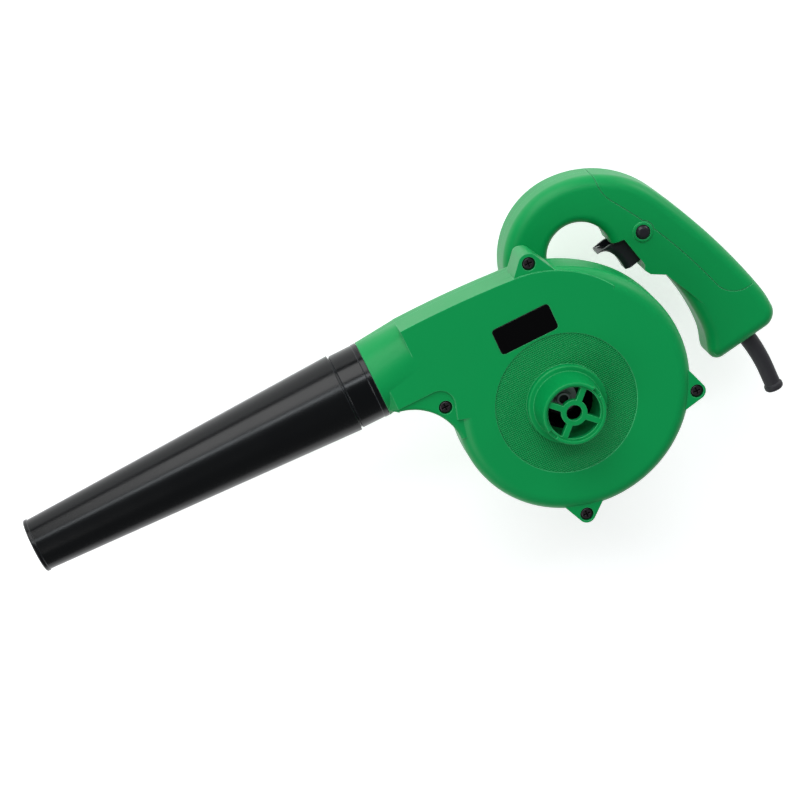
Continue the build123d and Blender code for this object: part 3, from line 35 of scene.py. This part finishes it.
# %% Camera
disc_floor = 0.1524
disc_centre = Vector((0.0, 0.0, disc_floor))
view_right = Vector((0.89545337, -0.41689104, 0.15609331))
view_up = Vector((0.44460905, 0.85493545, -0.26722308))
view_back = Vector((-0.0220468, 0.3086863, 0.95090836))
disc_right_of_axis, disc_above_axis, lens_distance = 0.104928, -0.0017936, 1.83633
camera_place = (disc_centre - view_right * disc_right_of_axis - view_up * disc_above_axis
                + view_back * lens_distance)

camera_data = bpy.data.cameras.new("studio_camera")
camera_data.sensor_width = 36.0
camera_data.lens = 131.17
camera_data.clip_start = 0.1
camera_data.clip_end = 30.0
camera = bpy.data.objects.new("studio_camera", camera_data)
camera.matrix_world = Matrix((
    (view_right.x, view_up.x, view_back.x, camera_place.x),
    (view_right.y, view_up.y, view_back.y, camera_place.y),
    (view_right.z, view_up.z, view_back.z, camera_place.z),
    (0, 0, 0, 1)))
bpy.context.scene.collection.objects.link(camera)
bpy.context.scene.camera = camera
print("camera at", [round(v, 3) for v in camera_place])

# %% [markdown]
# ## Studio
#
# A plain white floor in a dim white room, so that glossy black plastic reflects little and stays
# black. The floor glows a little, as back-lit white card does, which keeps its shadows pale.

# %% Floor and room
def square_sheet(name, half_size, height):
    """A flat square, large enough to fill the view behind the blower."""
    mesh = bpy.data.meshes.new(name)
    corners = [(-half_size, -half_size, height), (half_size, -half_size, height),
               (half_size, half_size, height), (-half_size, half_size, height)]
    mesh.from_pydata(corners, [], [(0, 1, 2, 3)])
    sheet = bpy.data.objects.new(name, mesh)
    bpy.context.scene.collection.objects.link(sheet)
    return sheet


floor = square_sheet("studio_floor", half_size=6.0, height=0.0)
floor_paint = bpy.data.materials.new("pale_floor")
floor_paint.use_nodes = True
floor_shader = floor_paint.node_tree.nodes["Principled BSDF"]
floor_shader.inputs["Base Color"].default_value = (0.9, 0.9, 0.9, 1)
floor_shader.inputs["Roughness"].default_value = 0.9
floor_shader.inputs["Specular IOR Level"].default_value = 0.1
floor_shader.inputs["Emission Color"].default_value = (1, 1, 1, 1)
floor_shader.inputs["Emission Strength"].default_value = 0.45
floor.data.materials.append(floor_paint)

room = bpy.data.worlds.new("white_room")
bpy.context.scene.world = room
room.use_nodes = True
room_light = room.node_tree.nodes["Background"]
room_light.inputs["Color"].default_value = (0.97, 0.985, 1.0, 1)
room_light.inputs["Strength"].default_value = 0.22
bpy.context.scene.view_settings.view_transform = "Standard"
print("floor and room ready, view transform", bpy.context.scene.view_settings.view_transform)

# %% [markdown]
# Four soft boxes light the blower. The key box, above and to the left of the lens, lights every face
# that looks up, and the fill box below it opens the shadows. A long strip over the nozzle draws the
# broad streak along it, and a box at the upper right gives the casing, the arch and the back of the
# grip their highlights. Their places are counted along the camera's axes, so that they stay where
# they are for the lens.

# %% Lights
def soft_light(name, place, target, size, power, colour=(1, 1, 1)):
    """A rectangular soft box at place, facing target; size is its width and height in metres."""
    data = bpy.data.lights.new(name, "AREA")
    data.shape = "RECTANGLE"
    data.size, data.size_y = size
    data.energy = power
    data.color = colour
    lamp = bpy.data.objects.new(name, data)
    bpy.context.scene.collection.objects.link(lamp)
    aim = (Vector(target) - Vector(place)).to_track_quat("-Z", "Y")
    lamp.matrix_world = Matrix.Translation(place) @ aim.to_matrix().to_4x4()
    return lamp


def studio_place(right, up, back):
    """A point given along the camera's axes, in metres from the middle of the sunken disc."""
    return disc_centre + view_right * right + view_up * up + view_back * back


blower_middle = studio_place(-0.08, 0.0, 0.0)
nozzle_middle = studio_place(-0.25, -0.04, 0.0)
soft_light("key_box", studio_place(-0.6, 1.2, 1.3), blower_middle, size=(1.2, 1.2), power=20)
soft_light("nozzle_strip", studio_place(-0.15, 0.42, 1.6), nozzle_middle, size=(1.6, 0.2), power=9,
           colour=(0.9, 0.96, 1.0))
soft_light("highlight_box", studio_place(1.1, 1.1, 0.4), blower_middle, size=(0.6, 0.6), power=7)
soft_light("fill_box", studio_place(-0.9, -1.1, 1.2), blower_middle, size=(1.2, 1.2), power=12)

# %% [markdown]
# ## Effects that several materials share
#
# Moulded plastic is never one flat colour: the tool's spark-eroded skin gives it a fine grain, and
# the colour drifts a little over a big moulding. Edges are rounded, and a highlight is painted along
# them as a paler colour. Each effect is a node group with named sockets, so that every material uses
# the same recipe with its own amounts. Texture positions are object coordinates, which are the
# blower's own metres.

# %% Helpers for node trees
def node_group(name, inputs, outputs):
    """A shader node group: inputs are name: (kind, default), and outputs are name: kind."""
    tree = bpy.data.node_groups.new(name, "ShaderNodeTree")
    kinds = {"value": "NodeSocketFloat", "vector": "NodeSocketVector", "colour": "NodeSocketColor"}
    for socket_name, (kind, default) in inputs.items():
        socket = tree.interface.new_socket(name=socket_name, in_out="INPUT",
                                           socket_type=kinds[kind])
        if default is not None:
            socket.default_value = default
    for socket_name, kind in outputs.items():
        tree.interface.new_socket(name=socket_name, in_out="OUTPUT", socket_type=kinds[kind])
    print("group:", name, "gives", list(outputs))
    return tree, tree.nodes.new("NodeGroupInput"), tree.nodes.new("NodeGroupOutput")


def put(tree, kind, **settings):
    """Add a node of that kind; settings are its properties."""
    node = tree.nodes.new(kind)
    for key, value in settings.items():
        setattr(node, key, value)
    return node


def wire(tree, source, target):
    """Join an output socket to an input socket, or set the input to a plain number."""
    if isinstance(source, (int, float)):
        target.default_value = source
    else:
        tree.links.new(source, target)


def maths(tree, operation, first, second=None, third=None, clamp=False):
    """One Math node; returns its output."""
    node = put(tree, "ShaderNodeMath", operation=operation, use_clamp=clamp)
    for socket, value in zip(node.inputs, (first, second, third)):
        if value is not None:
            wire(tree, value, socket)
    return node.outputs[0]


# %% [markdown]
# The skin of a moulding has two scales. A noise with the grain's own size gives the relief, and a
# second one with patches of about two centimetres says where the skin is a little duller or shinier.

# %% Fine grain of a spark-eroded mould
grain_tree, grain_in, grain_out = node_group(
    "mould_grain", {"Position": ("vector", None), "Grain size": ("value", 0.0006)},
    {"Height": "value", "Sheen mask": "value"})
grains_per_metre = maths(grain_tree, "DIVIDE", 1.0, grain_in.outputs["Grain size"])
coarse = put(grain_tree, "ShaderNodeTexNoise")
coarse.inputs["Detail"].default_value = 3.0
coarse.inputs["Roughness"].default_value = 0.6
wire(grain_tree, grain_in.outputs["Position"], coarse.inputs["Vector"])
wire(grain_tree, grains_per_metre, coarse.inputs["Scale"])
patch = put(grain_tree, "ShaderNodeTexNoise")
patch.inputs["Scale"].default_value = 45.0
patch.inputs["Detail"].default_value = 2.0
wire(grain_tree, grain_in.outputs["Position"], patch.inputs["Vector"])
wire(grain_tree, coarse.outputs["Fac"], grain_out.inputs["Height"])
wire(grain_tree, patch.outputs["Fac"], grain_out.inputs["Sheen mask"])

# %% [markdown]
# Colour drifts over about ten centimetres, because pigment is never mixed quite evenly. The colour is
# scaled by a factor a little above or below one, so that its hue stays the same.

# %% Slow drift of colour over a moulding
drift_tree, drift_in, drift_out = node_group(
    "colour_drift", {"Position": ("vector", None), "Colour": ("colour", (0.5, 0.5, 0.5, 1)),
                     "Amount": ("value", 0.06)}, {"Colour": "colour"})
slow = put(drift_tree, "ShaderNodeTexNoise")
slow.inputs["Scale"].default_value = 9.0
slow.inputs["Detail"].default_value = 4.0
wire(drift_tree, drift_in.outputs["Position"], slow.inputs["Vector"])
centred = maths(drift_tree, "SUBTRACT", slow.outputs["Fac"], 0.5)
drift_swing = maths(drift_tree, "MULTIPLY", centred, drift_in.outputs["Amount"])
factor = maths(drift_tree, "ADD", drift_swing, 1.0)
tint = put(drift_tree, "ShaderNodeVectorMath", operation="SCALE")
wire(drift_tree, drift_in.outputs["Colour"], tint.inputs[0])
wire(drift_tree, factor, tint.inputs["Scale"])
wire(drift_tree, tint.outputs[0], drift_out.inputs["Colour"])

# %% [markdown]
# A moulding has no razor edges. The Bevel node bends the normal near an edge as if it were rounded,
# and the angle between that normal and the true one marks the edge, where a paler colour is painted
# on as an edge highlight.

# %% Softened edges and their painted highlight
edge_gain_of_turn = 4.0
edge_tree, edge_in, edge_out = node_group(
    "soft_edges", {"Radius": ("value", 0.0008)}, {"Normal": "vector", "Edge highlight mask": "value"})
rounded = put(edge_tree, "ShaderNodeBevel", samples=6)
wire(edge_tree, edge_in.outputs["Radius"], rounded.inputs["Radius"])
surface = put(edge_tree, "ShaderNodeNewGeometry")
agree = put(edge_tree, "ShaderNodeVectorMath", operation="DOT_PRODUCT")
wire(edge_tree, rounded.outputs["Normal"], agree.inputs[0])
wire(edge_tree, surface.outputs["Normal"], agree.inputs[1])
# The mask rises where the bent normal turns from the true one; the materials paint an edge highlight
# with it.
turned = maths(edge_tree, "SUBTRACT", 1.0, agree.outputs["Value"])
mask = maths(edge_tree, "MULTIPLY", turned, edge_gain_of_turn, clamp=True)
wire(edge_tree, rounded.outputs["Normal"], edge_out.inputs["Normal"])
wire(edge_tree, mask, edge_out.inputs["Edge highlight mask"])

# %% [markdown]
# ## Moulded plastics
#
# The casing and the handle are one green plastic. It is satin: a weak shine, a grain of about half a
# millimetre, and a highlight painted along its edges. The nozzle, trigger and cord sleeve are black
# plastics and rubber made with the same recipe and other amounts, so one function makes them all.

# %% One recipe for every moulding
def moulded_plastic(name, colour, roughness, grain_size, grain_depth, drift=0.06, shine=0.35,
                    edge_radius=0.0006, edge_highlight_gain=0.5, edge_highlight_colour=(0.10, 0.11, 0.12),
                    sheen_swing=0.08):
    """Plastic with colour drift, mould grain, and softened edges with a slightly lighter painted
    highlight.
    """
    material = bpy.data.materials.new(name)
    material.use_nodes = True
    tree = material.node_tree
    shader = tree.nodes["Principled BSDF"]
    place = put(tree, "ShaderNodeTexCoord").outputs["Object"]

    tone = put(tree, "ShaderNodeGroup", node_tree=drift_tree)
    tone.inputs["Colour"].default_value = (*colour, 1)
    tone.inputs["Amount"].default_value = drift
    wire(tree, place, tone.inputs["Position"])

    edges = put(tree, "ShaderNodeGroup", node_tree=edge_tree)
    edges.inputs["Radius"].default_value = edge_radius
    # Painted highlight: a paler colour is added along the edges, as far as the edge mask reaches.
    painted_edge_highlight = put(tree, "ShaderNodeMix", data_type="RGBA", blend_type="ADD")
    wire(tree, maths(tree, "MULTIPLY", edges.outputs["Edge highlight mask"], edge_highlight_gain),
         painted_edge_highlight.inputs["Factor"])
    wire(tree, tone.outputs["Colour"], painted_edge_highlight.inputs["A"])
    painted_edge_highlight.inputs["B"].default_value = (*edge_highlight_colour, 1)
    wire(tree, painted_edge_highlight.outputs["Result"], shader.inputs["Base Color"])

    grain = put(tree, "ShaderNodeGroup", node_tree=grain_tree)
    grain.inputs["Grain size"].default_value = grain_size
    wire(tree, place, grain.inputs["Position"])
    swing = maths(tree, "MULTIPLY", maths(tree, "SUBTRACT", grain.outputs["Sheen mask"], 0.5),
                  sheen_swing)
    wire(tree, maths(tree, "ADD", swing, roughness), shader.inputs["Roughness"])

    bump = put(tree, "ShaderNodeBump")
    bump.inputs["Distance"].default_value = grain_depth
    wire(tree, grain.outputs["Height"], bump.inputs["Height"])
    wire(tree, edges.outputs["Normal"], bump.inputs["Normal"])
    wire(tree, bump.outputs["Normal"], shader.inputs["Normal"])
    shader.inputs["Specular IOR Level"].default_value = shine
    return material


def finish_nodes(material, *names):
    """Give CAD pieces a material, in every slot they have."""
    for node_name in names:
        for slot in nodes[node_name].material_slots:
            slot.material = material
    print(material.name, "on", ", ".join(names))


# %% Green of the casing and the handle
def casing_plastic(name):
    """The blower's green: satin, with a painted highlight of paler green along its edges."""
    return moulded_plastic(name, (0.0, 0.275, 0.066), roughness=0.40, grain_size=0.0005,
                           grain_depth=0.00003, shine=0.22, edge_highlight_gain=0.8,
                           edge_highlight_colour=(0.12, 0.36, 0.22))


casing_green = casing_plastic("casing_green")
finish_nodes(casing_green, "rear_housing", "motor_end_cap", "handle_front_shell",
             "handle_rear_shell", "grip_strap", "inlet_guard")

# %% [markdown]
# The sunken disc round the air inlet has its own relief, a fine square net of raised points about
# 1.3 mm apart. It is part of the mould's skin, so it is a height that depends on where a point lies,
# and only on the disc's floor, between the inlet collar and the disc's rim. The height is the sum of
# two crossed waves, and its valleys are also given out as a mask, where shade is painted on as a
# little darker colour.

# %% Net relief on the disc
level_tolerance = 0.0004
net_tree, net_in, net_out = node_group(
    "net_relief", {"Position": ("vector", None), "Pitch": ("value", 0.0013),
                   "Outer radius": ("value", 0.0455), "Inner radius": ("value", 0.0258),
                   "Height over origin": ("value", disc_floor)},
    {"Height": "value", "Valley shade mask": "value"})
split = put(net_tree, "ShaderNodeSeparateXYZ")
wire(net_tree, net_in.outputs["Position"], split.inputs[0])
waves = []
for axis in ("X", "Y"):
    turns = maths(net_tree, "DIVIDE", split.outputs[axis], net_in.outputs["Pitch"])
    waves.append(maths(net_tree, "COSINE", maths(net_tree, "MULTIPLY", turns, 2 * math.pi)))
points = maths(net_tree, "ADD", waves[0], waves[1])
raised = maths(net_tree, "MULTIPLY_ADD", points, 0.25, 0.5, clamp=True)
sunk = maths(net_tree, "SUBTRACT", 1.0, raised)

# %% Where the net lies
flat = put(net_tree, "ShaderNodeCombineXYZ")
wire(net_tree, split.outputs["X"], flat.inputs["X"])
wire(net_tree, split.outputs["Y"], flat.inputs["Y"])
reach = put(net_tree, "ShaderNodeVectorMath", operation="LENGTH")
wire(net_tree, flat.outputs[0], reach.inputs[0])
inside = maths(net_tree, "LESS_THAN", reach.outputs["Value"], net_in.outputs["Outer radius"])
outside = maths(net_tree, "GREATER_THAN", reach.outputs["Value"], net_in.outputs["Inner radius"])
level = maths(net_tree, "COMPARE", split.outputs["Z"], net_in.outputs["Height over origin"],
              level_tolerance)
band = maths(net_tree, "MULTIPLY", maths(net_tree, "MULTIPLY", inside, outside), level)
wire(net_tree, maths(net_tree, "MULTIPLY", raised, band), net_out.inputs["Height"])
wire(net_tree, maths(net_tree, "MULTIPLY", sunk, band), net_out.inputs["Valley shade mask"])
print("net group has", len(net_tree.nodes), "nodes")

# %% [markdown]
# The front cover is the same green as the casing with the net laid over its grain: the second bump
# starts from the first one's normal, and the valleys are multiplied by a grey as painted shade.

# %% Cover green
valley_shade = 0.2
cover_green = casing_plastic("cover_green")
cover_tree = cover_green.node_tree
cover_shader = cover_tree.nodes["Principled BSDF"]
grain_normal = cover_shader.inputs["Normal"].links[0].from_socket
net = put(cover_tree, "ShaderNodeGroup", node_tree=net_tree)
wire(cover_tree, put(cover_tree, "ShaderNodeTexCoord").outputs["Object"], net.inputs["Position"])
net_bump = put(cover_tree, "ShaderNodeBump")
net_bump.inputs["Distance"].default_value = 0.0005
wire(cover_tree, net.outputs["Height"], net_bump.inputs["Height"])
wire(cover_tree, grain_normal, net_bump.inputs["Normal"])
wire(cover_tree, net_bump.outputs["Normal"], cover_shader.inputs["Normal"])
# Painted shade: the valleys of the net are darkened towards a grey.
shaded = put(cover_tree, "ShaderNodeMix", data_type="RGBA", blend_type="MULTIPLY")
wire(cover_tree, maths(cover_tree, "MULTIPLY", net.outputs["Valley shade mask"], valley_shade),
     shaded.inputs["Factor"])
wire(cover_tree, cover_shader.inputs["Base Color"].links[0].from_socket, shaded.inputs["A"])
shaded.inputs["B"].default_value = (0.3, 0.3, 0.3, 1)
wire(cover_tree, shaded.outputs["Result"], cover_shader.inputs["Base Color"])
finish_nodes(cover_green, "front_cover")

# %% [markdown]
# ## Black plastics and rubber
#
# The nozzle and its collar are polished, so they keep sharp streaks of light. The trigger is satin,
# the cord sleeve and the fan are dull, and the bare name plate is smooth and glossy.

# %% Blacks: nozzle, trigger, cord sleeve, fan and name plate
polished_black = (0.001, 0.0015, 0.002)
nozzle_black = moulded_plastic("nozzle_black", polished_black, 0.23, 0.0009, 0.00002,
                               drift=0.15, shine=0.26, sheen_swing=0.10)
# The collar's edges carry a strong painted grey highlight.
collar_black = moulded_plastic("collar_black", polished_black, 0.18, 0.0009, 0.00001,
                               drift=0.15, shine=0.25, edge_highlight_gain=0.8)
trigger_black = moulded_plastic("trigger_black", (0.013, 0.0125, 0.017), 0.34, 0.0005, 0.00002)
sleeve_rubber = moulded_plastic("sleeve_rubber", (0.026, 0.025, 0.029), 0.55, 0.0008, 0.00004,
                                shine=0.25)
fan_black = moulded_plastic("fan_black", (0.004, 0.004, 0.0045), 0.5, 0.0008, 0.00002)
plate_black = moulded_plastic("plate_black", (0.0008, 0.0008, 0.001), 0.12, 0.004, 0.000002,
                              drift=0.1, shine=0.12, edge_highlight_gain=0.2, sheen_swing=0.02)
finish_nodes(nozzle_black, "nozzle_tube")
finish_nodes(collar_black, "nozzle_collar", "brush_caps")
finish_nodes(trigger_black, "trigger", "switch_plunger", "lock_button", "switch_body")
finish_nodes(sleeve_rubber, "cord_guard", "rear_bearing_sleeve")
finish_nodes(fan_black, "impeller", "cooling_fan")
finish_nodes(plate_black, "name_plate")

# %% [markdown]
# ## Metals and carbon
#
# Most metal is hidden in the motor, but the nut and washer on the fan show through the inlet, and
# the screws' black heads show on the casing. Cut and rolled metal has the same kind of fine grain as
# a mould's skin, shallower on steel and deeper on the wound copper, and its polish changes from
# place to place. The two brushes are pressed carbon, which is dull like an unpolished moulding.

# %% One recipe for every metal
polish_swing = 0.2


def metal(name, colour, roughness, grain_size=0.0003, grain_depth=0.000004, metallic=1.0):
    """Metal with a fine grain, small changes of colour and polish, and softened edges."""
    material = bpy.data.materials.new(name)
    material.use_nodes = True
    tree = material.node_tree
    shader = tree.nodes["Principled BSDF"]
    shader.inputs["Metallic"].default_value = metallic
    place = put(tree, "ShaderNodeTexCoord").outputs["Object"]
    tone = put(tree, "ShaderNodeGroup", node_tree=drift_tree)
    tone.inputs["Colour"].default_value = (*colour, 1)
    tone.inputs["Amount"].default_value = 0.2
    wire(tree, place, tone.inputs["Position"])
    wire(tree, tone.outputs["Colour"], shader.inputs["Base Color"])
    grain = put(tree, "ShaderNodeGroup", node_tree=grain_tree)
    grain.inputs["Grain size"].default_value = grain_size
    wire(tree, place, grain.inputs["Position"])
    swing = maths(tree, "MULTIPLY", maths(tree, "SUBTRACT", grain.outputs["Sheen mask"], 0.5),
                  polish_swing)
    wire(tree, maths(tree, "ADD", swing, roughness), shader.inputs["Roughness"])
    edges = put(tree, "ShaderNodeGroup", node_tree=edge_tree)
    edges.inputs["Radius"].default_value = 0.0003
    bump = put(tree, "ShaderNodeBump")
    bump.inputs["Distance"].default_value = grain_depth
    wire(tree, grain.outputs["Height"], bump.inputs["Height"])
    wire(tree, edges.outputs["Normal"], bump.inputs["Normal"])
    wire(tree, bump.outputs["Normal"], shader.inputs["Normal"])
    return material


# %% Steels, copper, brass and carbon
screw_black = metal("screw_black", (0.035, 0.03, 0.034), 0.32, metallic=0.7)
bright_steel = metal("bright_steel", (0.56, 0.55, 0.57), 0.25)
nut_steel = metal("nut_steel", (0.60, 0.57, 0.64), 0.5, grain_depth=0.000001)
shaft_steel = metal("shaft_steel", (0.05, 0.05, 0.055), 0.5)
plate_steel = metal("plate_steel", (0.28, 0.28, 0.29), 0.45)
copper_wire = metal("copper_wire", (0.70, 0.32, 0.16), 0.35, grain_size=0.0008, grain_depth=0.0001)
brass_metal = metal("brass_metal", (0.76, 0.58, 0.27), 0.3)
carbon = moulded_plastic("carbon", (0.02, 0.02, 0.021), 0.6, 0.0004, 0.00002)
finish_nodes(screw_black, "cover_screws", "end_cap_screws", "handle_screws", "stator_screws",
             "retainer_screws")
finish_nodes(nut_steel, "impeller_washer", "impeller_nut")
finish_nodes(shaft_steel, "rotor_shaft")
finish_nodes(bright_steel, "lock_spring", "brush_springs", "impeller_spacer",
             "front_bearing_outer_race", "front_bearing_inner_race", "front_bearing_balls",
             "rear_bearing_outer_race", "rear_bearing_inner_race", "rear_bearing_balls",
             "bearing_retainer")
finish_nodes(plate_steel, "stator_core", "armature_core")
finish_nodes(copper_wire, "field_coils", "armature_windings", "commutator")
finish_nodes(brass_metal, "switch_terminals", "brush_holders", "front_bearing_cage",
             "rear_bearing_cage", "impeller_hub")
finish_nodes(carbon, "carbon_brushes")
